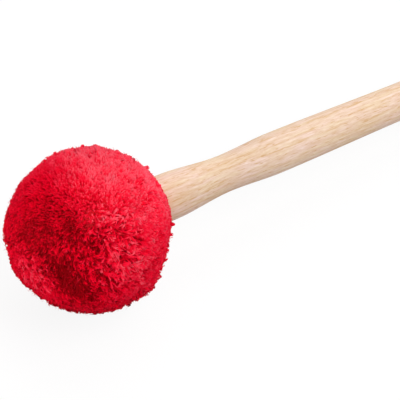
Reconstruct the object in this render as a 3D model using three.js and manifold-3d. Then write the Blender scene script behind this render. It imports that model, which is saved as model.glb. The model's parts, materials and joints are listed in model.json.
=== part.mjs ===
// Bass drum mallet: a turned ash handle whose wedged tenon carries a wooden core, felt and
// padding round the core, and a long-pile plush cover gathered and whipped onto the neck.
// Millimetres, +Z up. The mallet lies on a table at z = 0 as it is put down: the head on its
// pressed pile, the handle along +X on the lower edge of its butt. The origin is the middle of
// the pressed flat, straight under the centre of the head.
import * as THREE from "three";
import { mergeVertices, toCreasedNormals } from "three/addons/utils/BufferGeometryUtils.js";
import Module from "manifold-3d";

const wasm = await Module();
wasm.setup();

// Sizes that every piece shares
const overallLength = 360; // along the handle, from the front of the head to the end of the butt
const fitGap = 0.3; // between pieces that bear on each other
const overrun = 1; // how far a cutting tool runs past what it cuts
const weldTolerance = 1e-4; // points nearer than this are one point

// Head, from the inside out
const coreDiameter = 30;
const coreLength = 30;
const coreChamfer = 1.5;
const wrapThickness = 5.5;
const wrapTurns = 2;
const wrapPlyGap = 0.45;
const featherThicknessShare = 0.25; // of the felt left at the strip's pared ends
const featherTurnShare = 0.2; // of a turn, over which the ends are pared
const padThickness = 5;
const padRim = 0.5; // straight edge left under the pad's rounding
const paddingThickness = 3.5; // over the corners of the felt
const coverThickness = 10.7; // knitted backing and pile together
const restFlatDepth = 1; // how far the pile is pressed where the head lies
const pileLipRounding = 2.4; // where the pile turns in to the neck

// Gathered neck of the cover and the whipping that holds it
const neckWall = 2.2; // gathered backing between the padding and the whipping
const sleeveThickness = 1.5;
const cordDiameter = 1.5;
const cordTurns = 3;
const cordSpacing = 0.5; // between one turn of the whipping and the next
const pocketRoom = 2.1; // between the whipping and the pile round it
const pleatCount = 12;
const pleatHeight = 0.9;
const pleatReach = 15; // how far from the neck the pleats fade out

// Tenon and its wedge
const tenonDiameter = 16;
const wedgeHeadThickness = 3;
const wedgeTipThickness = 1;
const wedgeLength = 19;
const kerfRelief = 2; // how far the kerf runs past the wedge's tip

// Handle: diameters at its stations, and the runs from one station to the next. The run from
// the swell to the slim part takes what is left of the overall length.
const seatDiameter = 24.8; // parallel seat that the felt and the cover sit on
const neckDiameter = 19.7;
const swellDiameter = 22.5;
const slimDiameter = 20.4;
const gripDiameter = 23.4;
const buttDiameter = 22;
const buttFaceDiameter = 9;
const seatMargin = 8.5; // bare seat that shows behind the cover
const neckRun = 36.5;
const swellRun = 34;
const gripRun = 73;
const buttRun = 23;
const buttRounding = 7;

// Facets
const handleSides = 40;
const facetsPerPleat = 5;
const innerSides = 28;
const wrapSteps = 30; // to a turn of the felt strip
const stepsPerRun = 6;
const pileSteps = 32; // along the pile from the front to the neck
const hollowSteps = 14; // along the cover's hollow, and along the padding that fills it
const cordSteps = 24; // to a turn of the whipping
const cordSides = 6;

// Uneven places of the trimmed pile: a direction from the head's centre, a height as a share of
// the cover's thickness, negative where the pile is thin or brushed down, and a spread as a
// share of a half turn
const lumpShares = [
  [0.87, 0, 0.5, 0.07, 0.15],
  [0.87, -0.44, 0.22, 0.1, 0.06],
  [0.29, -0.82, -0.5, 0.1, 0.15],
  [0.27, -0.84, -0.46, 0.12, 0.06],
  [-0.43, -0.6, -0.67, 0.05, 0.08],
  [-0.91, 0.21, -0.35, 0.1, 0.15],
  [-0.1, -0.98, 0.1, 0.05, 0.15],
  [0.68, -0.71, -0.18, -0.11, 0.15],
  [-0.29, 0.82, 0.5, -0.08, 0.15],
  [0.1, 0.75, -0.65, 0.06, 0.15],
  [-0.75, -0.64, 0.17, -0.26, 0.07],
  [-0.36, -0.73, 0.58, -0.18, 0.05],
  [-0.46, -0.44, 0.77, -0.13, 0.05],
  [-0.81, -0.19, 0.55, -0.16, 0.06],
  [-0.54, -0.13, 0.83, -0.09, 0.06],
  [-0.09, -0.73, 0.67, 0.06, 0.08],
  [-0.17, -0.97, 0.17, 0.07, 0.07],
  [-0.96, -0.27, 0.09, 0.08, 0.06],
];

// Everything below is worked out from the sizes above.
// Distances "at" are along the handle's axis from the head's centre, towards the butt.
const coreRadius = coreDiameter / 2;
const coreEnd = coreLength / 2;
const tenonRadius = tenonDiameter / 2;
const wrapInnerRadius = coreRadius + fitGap;
const feltRadius = wrapInnerRadius + wrapThickness;
const feltRounding = padThickness - padRim;
const padInner = coreEnd + fitGap;
const padOuter = padInner + padThickness;
const feltReach = Math.hypot(feltRadius - feltRounding, padOuter - feltRounding) + feltRounding;
const paddingRadius = feltReach + fitGap + paddingThickness;
const cavityRadius = paddingRadius + fitGap;
const headRadius = cavityRadius + coverThickness;
const headHeight = headRadius - restFlatDepth; // centre of the head over the table

const seatRadius = seatDiameter / 2;
const seatBore = seatRadius + fitGap; // what slips over the seat
const shoulderAt = coreEnd + fitGap;
const sleeveOuter = seatBore + sleeveThickness;
const pocketOuter = sleeveOuter + fitGap + cordDiameter + pocketRoom;
const sleeveStart = Math.sqrt(cavityRadius ** 2 - seatBore ** 2);
const pocketFloor = sleeveStart + neckWall;
const cordPitch = cordDiameter + cordSpacing;
const whippingLength = cordTurns * cordPitch + cordDiameter;
const sleeveEnd = pocketFloor + fitGap + whippingLength + fitGap;

const seatEnd = sleeveEnd + seatMargin;
const neckAt = seatEnd + neckRun;
const swellAt = neckAt + swellRun;
const buttAt = overallLength - headRadius;
const roundingAt = buttAt - buttRounding;
const gripAt = roundingAt - buttRun;
const slimAt = gripAt - gripRun;

// Profiles, as points of radius and distance along the axis
const point = (radius, at) => new THREE.Vector2(radius, at);

// From just after one point to the next, easing in and out as a turner blends two diameters
function blend(from, to, steps = stepsPerRun) {
  return Array.from({ length: steps }, (_, i) => {
    const t = (i + 1) / steps;
    const eased = t * t * (3 - 2 * t);
    return point(THREE.MathUtils.lerp(from.x, to.x, eased), THREE.MathUtils.lerp(from.y, to.y, t));
  });
}

// An arc about a centre, from one angle to another; angles are measured from the +radius side
function arc(centre, radius, start, end, steps, radiusAlong = radius) {
  return Array.from({ length: steps + 1 }, (_, i) => {
    const angle = THREE.MathUtils.lerp(start, end, i / steps);
    const out = Math.max(0, centre.x + radius * Math.cos(angle));
    return point(out, centre.y + radiusAlong * Math.sin(angle));
  });
}

const quarter = Math.PI / 2;

function handleProfile() {
  const stations = [
    point(seatRadius, seatEnd),
    point(neckDiameter / 2, neckAt),
    point(swellDiameter / 2, swellAt),
    point(slimDiameter / 2, slimAt),
    point(gripDiameter / 2, gripAt),
    point(buttDiameter / 2, roundingAt),
  ];
  const faceRadius = buttFaceDiameter / 2;
  const roundingCentre = point(faceRadius, roundingAt);
  const roundingOut = buttDiameter / 2 - faceRadius;
  return [
    point(0, -coreEnd),
    point(tenonRadius, -coreEnd),
    point(tenonRadius, shoulderAt),
    point(seatRadius, shoulderAt),
    stations[0],
    ...stations.slice(1).flatMap((station, i) => blend(stations[i], station)),
    ...arc(roundingCentre, roundingOut, 0, quarter, 5, buttRounding).slice(1),
    point(0, buttAt),
  ];
}

// How far the handle's far end drops so that its lowest facet just meets the table
function layAngle() {
  const facetShare = Math.cos(Math.PI / handleSides);
  const touching = handleProfile()
    .filter((p) => p.y > seatEnd)
    .map((p) => {
      const low = p.x * facetShare;
      return Math.asin(headHeight / Math.hypot(p.y, low)) - Math.atan2(low, p.y);
    });
  return Math.min(...touching);
}

// Geometry helpers
function welded(geometry) {
  const bare = geometry.clone();
  bare.deleteAttribute("normal");
  bare.deleteAttribute("uv");
  return mergeVertices(bare, weldTolerance);
}

// Turns a profile about the handle's axis, which lies along +X, with a facet at the underside
function turned(profile, sides) {
  const half = Math.PI / sides;
  const geometry = new THREE.LatheGeometry(profile, sides, half);
  return welded(geometry.rotateZ(-quarter));
}

function solidOf(geometry) {
  const mesh = welded(geometry.index ? geometry.toNonIndexed() : geometry);
  return new wasm.Manifold(
    new wasm.Mesh({
      numProp: 3,
      vertProperties: new Float32Array(mesh.attributes.position.array),
      triVerts: new Uint32Array(mesh.index.array),
    }),
  );
}

function geometryOf(solid) {
  const mesh = solid.getMesh();
  return new THREE.BufferGeometry()
    .setAttribute("position", new THREE.BufferAttribute(new Float32Array(mesh.vertProperties), 3))
    .setIndex(new THREE.BufferAttribute(new Uint32Array(mesh.triVerts), 1));
}

const cut = (geometry, tool) => geometryOf(solidOf(geometry).subtract(solidOf(tool)));

// A flat tapering blade across the tenon: the wedge itself, or the kerf it is driven into
function blade(headAt, length, headThickness, tipThickness, width) {
  const outline = new THREE.Shape([
    point(headAt, -headThickness / 2),
    point(headAt + length, -tipThickness / 2),
    point(headAt + length, tipThickness / 2),
    point(headAt, headThickness / 2),
  ]);
  const geometry = new THREE.ExtrudeGeometry(outline, { depth: width, bevelEnabled: false });
  return geometry.translate(0, 0, -width / 2);
}

// Pieces, each in the mallet's own frame with the head's centre at the origin
const frontEnd = -coreEnd;

function handle() {
  const slope = (wedgeHeadThickness - wedgeTipThickness) / wedgeLength;
  const mouth = wedgeHeadThickness + 2 * fitGap;
  const kerfDepth = wedgeLength + kerfRelief;
  const kerf = blade(
    frontEnd - overrun,
    kerfDepth + overrun,
    mouth + slope * overrun,
    mouth - slope * kerfDepth,
    tenonDiameter + 2 * overrun,
  );
  return cut(turned(handleProfile(), handleSides), kerf);
}

function tenonWedge() {
  // The blade is as wide as the tenon's chord there, so that it stays inside the bore.
  const width = 2 * Math.sqrt(tenonRadius ** 2 - (wedgeHeadThickness / 2) ** 2) - fitGap;
  return blade(frontEnd, wedgeLength, wedgeHeadThickness, wedgeTipThickness, width);
}

function headCore() {
  const bore = tenonRadius + fitGap;
  const profile = [
    point(bore, -coreEnd),
    point(coreRadius - coreChamfer, -coreEnd),
    point(coreRadius, -coreEnd + coreChamfer),
    point(coreRadius, coreEnd - coreChamfer),
    point(coreRadius - coreChamfer, coreEnd),
    point(bore, coreEnd),
    point(bore, -coreEnd),
  ];
  return turned(profile, innerSides);
}

// A strip of felt wound round the core, both ends pared so that the ply over them lies smooth
function feltWrap() {
  const ply = (wrapThickness - (wrapTurns - 1) * wrapPlyGap) / wrapTurns;
  const paredPly = ply * featherThicknessShare;
  const thickness = (turn) => {
    const fromEnd = Math.min(turn, wrapTurns - turn);
    return THREE.MathUtils.lerp(paredPly, ply, Math.min(1, fromEnd / featherTurnShare));
  };
  // Each ply lies on the one before; the first steps up to clear its own pared start.
  const lift = (turn) => {
    if (turn >= 1) return lift(turn - 1) + thickness(turn - 1) + wrapPlyGap;
    const stepUp = Math.max(0, 1 - (1 - turn) / featherTurnShare);
    return stepUp * (paredPly + wrapPlyGap);
  };
  const spiral = (turn, height) => {
    const radius = wrapInnerRadius + height;
    const angle = turn * 2 * Math.PI;
    return point(radius * Math.cos(angle), radius * Math.sin(angle));
  };
  const turns = Array.from({ length: wrapTurns * wrapSteps + 1 }, (_, i) => i / wrapSteps);
  const inner = turns.map((turn) => spiral(turn, lift(turn)));
  const outer = turns.map((turn) => spiral(turn, lift(turn) + thickness(turn))).reverse();
  const strip = new THREE.ExtrudeGeometry(new THREE.Shape([...inner, ...outer]), {
    depth: coreLength,
    bevelEnabled: false,
  });
  return strip.rotateY(quarter).translate(frontEnd, 0, 0);
}

// Felt disc on the core's front face, its outer edge rounded over
function frontFeltPad() {
  const corner = point(feltRadius - feltRounding, -padOuter + feltRounding);
  const profile = [
    point(0, -padOuter),
    ...arc(corner, feltRounding, -quarter, 0, 4),
    point(feltRadius, -padInner),
    point(0, -padInner),
  ];
  return turned(profile, innerSides);
}

// The same disc at the back, bored to slip over the handle's seat
function rearFeltPad() {
  const corner = point(feltRadius - feltRounding, padOuter - feltRounding);
  const profile = [
    point(seatBore, padInner),
    point(feltRadius, padInner),
    ...arc(corner, feltRounding, 0, quarter, 4),
    point(seatBore, padOuter),
    point(seatBore, padInner),
  ];
  return turned(profile, innerSides);
}

// Ball of wool wadding, hollow to the shape of the felted core
function headPadding() {
  const room = fitGap;
  const neckAngle = Math.asin(Math.sqrt(paddingRadius ** 2 - seatBore ** 2) / paddingRadius);
  const radius = feltRadius + room;
  const end = padOuter + room;
  const corner = feltRounding + room;
  const profile = [
    ...arc(point(0, 0), paddingRadius, -quarter, neckAngle, hollowSteps),
    point(seatBore, end),
    ...arc(point(radius - corner, end - corner), corner, quarter, 0, 4),
    ...arc(point(radius - corner, -end + corner), corner, 0, -quarter, 4),
    point(0, -end),
  ];
  return turned(profile, innerSides);
}

// Height of the uneven pile in a direction from the head's centre, in the table's frame
function lumpHeight(direction) {
  return lumpShares.reduce((height, [x, y, z, heightShare, spreadShare]) => {
    const off = new THREE.Vector3(x, y, z).angleTo(direction) / (spreadShare * Math.PI);
    return height + heightShare * coverThickness * Math.exp(-(off ** 2));
  }, 0);
}

// Plush cover: a thick shell open only at the neck, where it is drawn in to pleats and runs
// down the handle as a sleeve under the whipping
function plushCover(lay) {
  const lipAngle = Math.acos((pocketOuter + pileLipRounding) / headRadius);
  const lipAt = headRadius * Math.sin(lipAngle);
  const lipCentre = point(pocketOuter + pileLipRounding, lipAt - pileLipRounding);
  const neckAngle = Math.asin(sleeveStart / cavityRadius);
  const profile = [
    ...arc(point(0, 0), headRadius, -quarter, lipAngle, pileSteps),
    ...arc(lipCentre, pileLipRounding, quarter, Math.PI, 3).slice(1),
    point(pocketOuter, pocketFloor),
    point(sleeveOuter, pocketFloor),
    point(sleeveOuter, sleeveEnd),
    point(seatBore, sleeveEnd),
    point(seatBore, sleeveStart),
    ...arc(point(0, 0), cavityRadius, neckAngle, -quarter, hollowSteps).slice(1),
  ];
  const geometry = turned(profile, pleatCount * facetsPerPleat);
  const places = geometry.attributes.position;
  const place = new THREE.Vector3();
  const outside = (cavityRadius + headRadius) / 2;
  for (let i = 0; i < places.count; i++) {
    place.fromBufferAttribute(places, i);
    const across = Math.hypot(place.y, place.z);
    const onSleeve = place.x > 0 && across < (sleeveOuter + pocketOuter) / 2;
    if (place.length() < outside || onSleeve) continue;
    const direction = place.clone().normalize().transformDirection(lay);
    const fromNeck = Math.hypot(across - pocketOuter, place.x - lipAt);
    const fade = Math.max(0, 1 - fromNeck / pleatReach) ** 2;
    const wave = (1 - Math.cos(pleatCount * Math.atan2(place.z, place.y))) / 2;
    place.setLength(place.length() + lumpHeight(direction) - pleatHeight * fade * wave);
    places.setXYZ(i, place.x, place.y, place.z);
  }
  const depth = headRadius;
  const table = new THREE.BoxGeometry(2 * headRadius, 2 * headRadius, depth);
  table.translate(0, 0, -headHeight - depth / 2).applyMatrix4(lay.clone().invert());
  return cut(geometry, table);
}

// Whipping: one cord in close turns round the sleeve, each end running on straight
function tieCord() {
  const radius = sleeveOuter + fitGap + cordDiameter / 2;
  const start = pocketFloor + fitGap + cordDiameter / 2;
  const count = cordTurns * cordSteps;
  const rise = cordPitch / cordSteps;
  const line = Array.from({ length: count + 1 }, (_, i) => {
    const angle = (i * 2 * Math.PI) / cordSteps;
    return new THREE.Vector3(start + i * rise, radius * Math.cos(angle), radius * Math.sin(angle));
  });
  const first = line[0].clone().sub(line[1]).setLength(cordDiameter).add(line[0]);
  const last = line[count].clone().sub(line[count - 1]).setLength(cordDiameter).add(line[count]);
  const path = [first, ...line, last];
  reportLeastGap(path);
  return tube(path, cordDiameter, cordSides);
}

// A closed tube along points, its section kept square to the path
function tube(path, diameter, sides) {
  const frames = path.map((p, i) => {
    const ahead = path[Math.min(i + 1, path.length - 1)];
    const behind = path[Math.max(i - 1, 0)];
    const tangent = ahead.clone().sub(behind).normalize();
    const out = new THREE.Vector3(0, p.y, p.z).normalize();
    const side = tangent.clone().cross(out).normalize();
    return { p, out: side.clone().cross(tangent), side };
  });
  const positions = frames.flatMap(({ p, out, side }) =>
    Array.from({ length: sides }, (_, k) => {
      const angle = (k * 2 * Math.PI) / sides;
      const reach = diameter / 2;
      const around = out.clone().multiplyScalar(reach * Math.cos(angle));
      return around.addScaledVector(side, reach * Math.sin(angle)).add(p).toArray();
    }).flat(),
  );
  const faces = [];
  for (let i = 0; i + 1 < frames.length; i++) {
    for (let k = 0; k < sides; k++) {
      const a = i * sides + k;
      const b = i * sides + ((k + 1) % sides);
      faces.push(a, b, b + sides, a, b + sides, a + sides);
    }
  }
  const lastRing = (frames.length - 1) * sides;
  for (let k = 1; k + 1 < sides; k++) {
    faces.push(0, k + 1, k, lastRing, lastRing + k, lastRing + k + 1);
  }
  return new THREE.BufferGeometry()
    .setAttribute("position", new THREE.Float32BufferAttribute(positions, 3))
    .setIndex(faces);
}

// Prints the least gap between turns of the whipping, measured on its points
function reportLeastGap(path) {
  const halfTurn = cordSteps / 2;
  let least = Infinity;
  path.forEach((a, i) => {
    path.slice(i + halfTurn).forEach((b) => {
      least = Math.min(least, a.distanceTo(b) - cordDiameter);
    });
  });
  console.log(`whipping: least gap to itself ${least.toFixed(2)} mm`);
}

// Finishes
const ash = { color: 0xe9cfae, roughness: 0.55, metalness: 0 };
const beech = { color: 0xd9b184, roughness: 0.7, metalness: 0 };
const oak = { color: 0xa67c4e, roughness: 0.7, metalness: 0 };
const greyFelt = { color: 0xb9b4a8, roughness: 1, metalness: 0 };
const wool = { color: 0xe8e2d2, roughness: 1, metalness: 0 };
const redPlush = { color: 0xd3132a, roughness: 0.95, metalness: 0 };
const redCord = { color: 0xa50f20, roughness: 0.9, metalness: 0 };

const creaseAngle = Math.PI / 6; // sharper edges than this stay crisp

function piece(name, geometry, finish) {
  const shaded = toCreasedNormals(geometry, creaseAngle);
  const mesh = new THREE.Mesh(shaded, new THREE.MeshStandardMaterial(finish));
  mesh.name = name;
  return mesh;
}

const mallet = new THREE.Group();
mallet.position.set(0, 0, headHeight);
mallet.rotation.y = layAngle();
const lay = new THREE.Matrix4().makeRotationY(mallet.rotation.y);

mallet.add(
  piece("handle", handle(), ash),
  piece("tenon_wedge", tenonWedge(), oak),
  piece("head_core", headCore(), beech),
  piece("felt_wrap", feltWrap(), greyFelt),
  piece("front_felt_pad", frontFeltPad(), greyFelt),
  piece("rear_felt_pad", rearFeltPad(), greyFelt),
  piece("head_padding", headPadding(), wool),
  piece("plush_cover", plushCover(lay), redPlush),
  piece("tie_cord", tieCord(), redCord),
);

const part = new THREE.Group();
part.add(mallet);
export default part;
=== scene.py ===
"""Bass drum mallet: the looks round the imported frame.

A turned ash handle, and a plush ball whose pile is modelled strand by strand. Lengths are in
metres, in the row's frame: the mallet lies on the table z = 0 with its handle along +X.
"""

import json
import math

import bmesh
import bpy
import numpy as np
from mathutils import Matrix, Vector


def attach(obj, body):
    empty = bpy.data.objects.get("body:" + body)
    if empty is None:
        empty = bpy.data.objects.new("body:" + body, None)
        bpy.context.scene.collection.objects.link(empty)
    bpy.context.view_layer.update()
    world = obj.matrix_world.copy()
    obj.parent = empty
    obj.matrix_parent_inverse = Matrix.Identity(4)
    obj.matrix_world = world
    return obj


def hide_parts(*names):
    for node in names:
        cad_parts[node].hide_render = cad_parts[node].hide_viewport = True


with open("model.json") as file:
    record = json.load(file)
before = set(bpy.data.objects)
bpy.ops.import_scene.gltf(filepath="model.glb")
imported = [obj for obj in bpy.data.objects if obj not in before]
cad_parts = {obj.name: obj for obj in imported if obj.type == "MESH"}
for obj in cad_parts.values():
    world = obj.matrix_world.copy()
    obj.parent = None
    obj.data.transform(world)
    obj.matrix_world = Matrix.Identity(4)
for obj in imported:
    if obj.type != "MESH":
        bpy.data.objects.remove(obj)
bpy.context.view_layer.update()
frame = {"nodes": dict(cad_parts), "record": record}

MM = 0.001
TURN = 2 * math.pi
CAD_GAP = 0.3 * MM  # between CAD pieces that bear on each other
NODES = frame["nodes"]
MOUNTS = {mount["name"]: mount for mount in frame["record"]["mounts"]}

# The handle's axis runs from the head's centre, over the origin, to the butt's face.
BUTT = Vector(MOUNTS["butt_face"]["pos_m"])
AXIS = Vector(MOUNTS["butt_face"]["axis"]).normalized()
HEAD = BUTT - AXIS * (BUTT.x / AXIS.x)
ACROSS = Vector((0, 1, 0))
LOCAL_AXES = np.array([AXIS, ACROSS, AXIS.cross(ACROSS)])
LAY_ANGLE = math.atan2(-AXIS.z, AXIS.x)


def to_world(points):
    """Points along the handle's axis, across it and up from it, put into the row's frame."""
    return np.asarray(points) @ LOCAL_AXES + np.array(HEAD)


def to_local(points):
    return (np.asarray(points) - np.array(HEAD)) @ LOCAL_AXES.T


def node_points(name):
    """A CAD node's points in the mallet's own frame: distance along the axis, across and up."""
    mesh = NODES[name].data
    points = np.empty(len(mesh.vertices) * 3)
    mesh.vertices.foreach_get("co", points)
    return to_local(points.reshape(-1, 3))


def node_reach(name):
    """Where a CAD node starts and ends along the axis, and its least and greatest radius."""
    points = node_points(name)
    radius = np.hypot(points[:, 1], points[:, 2])
    return points[:, 0].min(), points[:, 0].max(), radius.min(), radius.max()


# Camera: the ball's centre and radius in the 400 x 400 photograph set its lens and its place.
PHOTO_WIDTH = 400
HEAD_PIXEL = (88.4, 229.5)
HEAD_PIXEL_RADIUS = 84.0
HEAD_RADIUS = 42.0 * MM
CAMERA_AZIMUTH = math.radians(-35.403)
CAMERA_ELEVATION = math.radians(45)
CAMERA_DISTANCE = 850 * MM
SENSOR_WIDTH = 36.0

BACK = Vector(
    (
        math.sin(CAMERA_AZIMUTH) * math.cos(CAMERA_ELEVATION),
        -math.cos(CAMERA_AZIMUTH) * math.cos(CAMERA_ELEVATION),
        math.sin(CAMERA_ELEVATION),
    )
)
RIGHT = Vector((math.cos(CAMERA_AZIMUTH), math.sin(CAMERA_AZIMUTH), 0))
UP = BACK.cross(RIGHT)


def link(thing):
    bpy.context.scene.collection.objects.link(thing)
    return thing


def add_camera():
    focal_pixels = HEAD_PIXEL_RADIUS / math.tan(math.asin(HEAD_RADIUS / CAMERA_DISTANCE))
    middle = PHOTO_WIDTH / 2
    across = (HEAD_PIXEL[0] - middle) / focal_pixels
    above = (middle - HEAD_PIXEL[1]) / focal_pixels
    ray = (RIGHT * across + UP * above - BACK).normalized()
    data = bpy.data.cameras.new("camera")
    data.sensor_width = SENSOR_WIDTH
    data.lens = focal_pixels / PHOTO_WIDTH * SENSOR_WIDTH
    camera = link(bpy.data.objects.new("camera", data))
    turn = Matrix((RIGHT, UP, BACK)).transposed().to_4x4()
    camera.matrix_world = Matrix.Translation(HEAD - ray * CAMERA_DISTANCE) @ turn
    bpy.context.scene.camera = camera


# Light: broad soft lamps from the upper right, the top and the lower left of the photograph,
# each with its way, strength and spread in degrees, and a white room
LAMPS = {
    "key": (RIGHT * 0.73 + UP * 0.44 + BACK * 0.57, 2.0, 50),
    "top": (RIGHT * 0.15 + UP * 0.95 + BACK * -0.1, 1.4, 60),
    "fill": (RIGHT * -0.73 + UP * -0.42 + BACK * 0.54, 2.6, 40),
}
WHITE = (1, 1, 1, 1)
ROOM_STRENGTH = 0.34
FLOOR_COLOUR = 0.45
FLOOR_SHADOW_DEPTH = 0.11  # how much of the floor's white a full shadow takes away
FLOOR_SIZE = 6.0


def add_lights():
    world = bpy.data.worlds.new("studio")
    world.use_nodes = True
    tree = world.node_tree
    soft = tree.nodes["Background"]
    feed(tree, soft, {"Color": WHITE, "Strength": ROOM_STRENGTH})
    white = node(tree, "Background", {"Color": WHITE, "Strength": 1.0})
    mix = node(tree, "MixShader", {0: seen(tree), 1: soft.outputs[0], 2: white.outputs[0]})
    tree.links.new(mix.outputs[0], tree.nodes["World Output"].inputs["Surface"])
    bpy.context.scene.world = world
    for name, (way, strength, spread_angle) in LAMPS.items():
        data = bpy.data.lights.new(name, "SUN")
        data.energy = strength
        data.angle = math.radians(spread_angle)
        lamp = link(bpy.data.objects.new(name, data))
        lamp.rotation_mode = "QUATERNION"
        lamp.rotation_quaternion = way.to_track_quat("Z", "Y")


def seen(tree):
    """1 for what the camera sees, in reflections and through clear things too, and 0 for light."""
    rays = node(tree, "LightPath").outputs
    mirrored = math_node(tree, "MAXIMUM", rays["Is Glossy Ray"], rays["Is Transmission Ray"])
    return math_node(tree, "MAXIMUM", rays["Is Camera Ray"], mirrored)


def add_floor():
    half = FLOOR_SIZE / 2
    corners = [(-half, -half, 0), (half, -half, 0), (half, half, 0), (-half, half, 0)]
    floor = add_mesh("floor", corners, [(0, 1, 2, 3)], smooth=False)
    floor.data.materials.append(floor_material())


# Nodes
def feed(tree, made, values):
    """Sets a node's sockets to values, or links them to other sockets."""
    for socket, value in values.items():
        if isinstance(value, bpy.types.NodeSocket):
            tree.links.new(value, made.inputs[socket])
        else:
            made.inputs[socket].default_value = value


def node(tree, kind, values=None, **settings):
    """A shader node with its settings, and its sockets set to values or linked to other sockets."""
    made = tree.nodes.new("ShaderNode" + kind)
    for name, value in settings.items():
        setattr(made, name, value)
    feed(tree, made, values or {})
    return made


def new_material(name):
    made = bpy.data.materials.new(name)
    made.use_nodes = True
    return made, made.node_tree, made.node_tree.nodes["Principled BSDF"]


def ramp(tree, factor, stops):
    """A colour ramp through (place, colour) stops."""
    made = node(tree, "ValToRGB", {"Fac": factor})
    elements = made.color_ramp.elements
    while len(elements) < len(stops):
        elements.new(1.0)
    for element, (place, colour) in zip(elements, stops):
        element.position = place
        element.color = (*colour, 1)
    return made.outputs["Color"]


def grey_ramp(tree, factor, stops):
    """A colour ramp through (place, grey) stops."""
    return ramp(tree, factor, [(place, (grey,) * 3) for place, grey in stops])


def math_node(tree, operation, first, second=0.0, third=0.0):
    return node(tree, "Math", {0: first, 1: second, 2: third}, operation=operation).outputs[0]


def weighted(tree, parts, start):
    """A start value plus each (socket, weight) of the parts."""
    total = start
    for part, weight in parts:
        total = math_node(tree, "MULTIPLY_ADD", part, weight, total)
    return total


def mallet_coordinates(tree):
    """Metres along the handle's axis, across it and up from it."""
    place = node(tree, "TexCoord")
    return node(
        tree,
        "Mapping",
        {"Vector": place.outputs["Object"], "Location": HEAD, "Rotation": (0, LAY_ANGLE, 0)},
        vector_type="TEXTURE",
    ).outputs["Vector"]


def stretched(tree, place, scale):
    return node(tree, "Mapping", {"Vector": place, "Scale": scale}).outputs["Vector"]


def noise(tree, place, scale=1.0, detail=2, roughness=0.5):
    return node(
        tree,
        "TexNoise",
        {"Vector": place, "Scale": scale, "Detail": detail, "Roughness": roughness},
    ).outputs["Fac"]


def bump(tree, shader, height, distance, strength):
    made = node(tree, "Bump", {"Height": height, "Distance": distance, "Strength": strength})
    tree.links.new(made.outputs["Normal"], shader.inputs["Normal"])


def floor_material():
    """Lit white to the camera, a shade under it where the mallet's shadow lies."""
    made, tree, shader = new_material("white_floor")
    feed(tree, shader, {"Base Color": (FLOOR_COLOUR,) * 3 + (1,), "Roughness": 1})
    shown = node(tree, "BsdfDiffuse", {"Color": (FLOOR_SHADOW_DEPTH,) * 3 + (1,)})
    glow = node(tree, "Emission", {"Strength": 1 - FLOOR_SHADOW_DEPTH})
    lit = node(tree, "AddShader", {0: shown.outputs[0], 1: glow.outputs[0]})
    mix = node(tree, "MixShader", {0: seen(tree), 1: shader.outputs[0], 2: lit.outputs[0]})
    tree.links.new(mix.outputs[0], tree.nodes["Material Output"].inputs["Surface"])
    return made


# Wood: how many features each noise has to a metre along the handle, across it and up from it
WANDER = (7, 40, 40)
FIBRES = (120, 1000, 1000)
STREAKS = (16, 500, 500)
PORES = (210, 2100, 2100)
PATCHES = (45, 330, 330)
# Its growth rings, round a pith that lies beside the handle and nearly along it
WANDER_REACH = (0, 3 * MM, 3 * MM)
PITH_OFFSET = (0, 21 * MM, 34 * MM)
PITH_SCALE = (0.03, 1, 1)
EARLY_WOOD = ((0.0, 1.0), (0.16, 0.85), (0.34, 0.12), (0.9, 0.0), (1.0, 1.0))
PORE_EDGE = ((0.58, 0), (0.67, 1))
LATE_PORES = 0.25  # how open the pores are between the bands of early wood
EARLY_PORES = 0.65  # and how much more in them
PATCH_EDGES = (0.38, 0.62)
# How far each of them takes the colour to the dark one, and where that starts
EARLY_DEPTH = 0.14
STREAK_DEPTH = 0.8
FIBRE_DEPTH = 1.6
PORE_DEPTH = 0.9
GRAIN_START = -0.78
WOOD_SHINE = 0.45
PORE_BUMP = 0.04 * MM


def wood_material(name, colours, ring_width, roughness):
    """Ring-porous wood: growth rings with pored early wood, fine fibre and short open pores."""
    made, tree, shader = new_material(name)
    pale, warm, dark = colours
    place = mallet_coordinates(tree)
    wander = noise(tree, stretched(tree, place, WANDER))
    wavy = node(tree, "VectorMath", {0: wander, 1: WANDER_REACH}, operation="MULTIPLY").outputs[0]
    place = node(tree, "VectorMath", {0: place, 1: wavy}, operation="ADD").outputs[0]
    pith = node(tree, "Mapping", {"Vector": place, "Location": PITH_OFFSET, "Scale": PITH_SCALE})
    distance = node(tree, "VectorMath", {0: pith.outputs["Vector"]}, operation="LENGTH")
    rings = math_node(tree, "DIVIDE", distance.outputs["Value"], ring_width)
    early = grey_ramp(tree, math_node(tree, "FRACT", rings), EARLY_WOOD)
    fibre = noise(tree, stretched(tree, place, FIBRES), detail=4, roughness=0.65)
    streak = noise(tree, stretched(tree, place, STREAKS), detail=3, roughness=0.6)
    pores = grey_ramp(tree, noise(tree, stretched(tree, place, PORES), detail=1), PORE_EDGE)
    pored = math_node(tree, "MULTIPLY", pores, weighted(tree, [(early, EARLY_PORES)], LATE_PORES))
    depths = [(early, EARLY_DEPTH), (streak, STREAK_DEPTH), (fibre, FIBRE_DEPTH), (pored, PORE_DEPTH)]
    patches = noise(tree, stretched(tree, place, PATCHES), detail=3)
    mix = {
        0: weighted(tree, depths, GRAIN_START),
        6: ramp(tree, patches, list(zip(PATCH_EDGES, (pale, warm)))),
        7: (*dark, 1),
    }
    mixed = node(tree, "Mix", mix, data_type="RGBA", clamp_factor=True).outputs[2]
    feed(tree, shader, {"Base Color": mixed, "Roughness": roughness, "Specular IOR Level": WOOD_SHINE})
    bump(tree, shader, math_node(tree, "SUBTRACT", fibre, pored), PORE_BUMP, 0.5)
    return made


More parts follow.
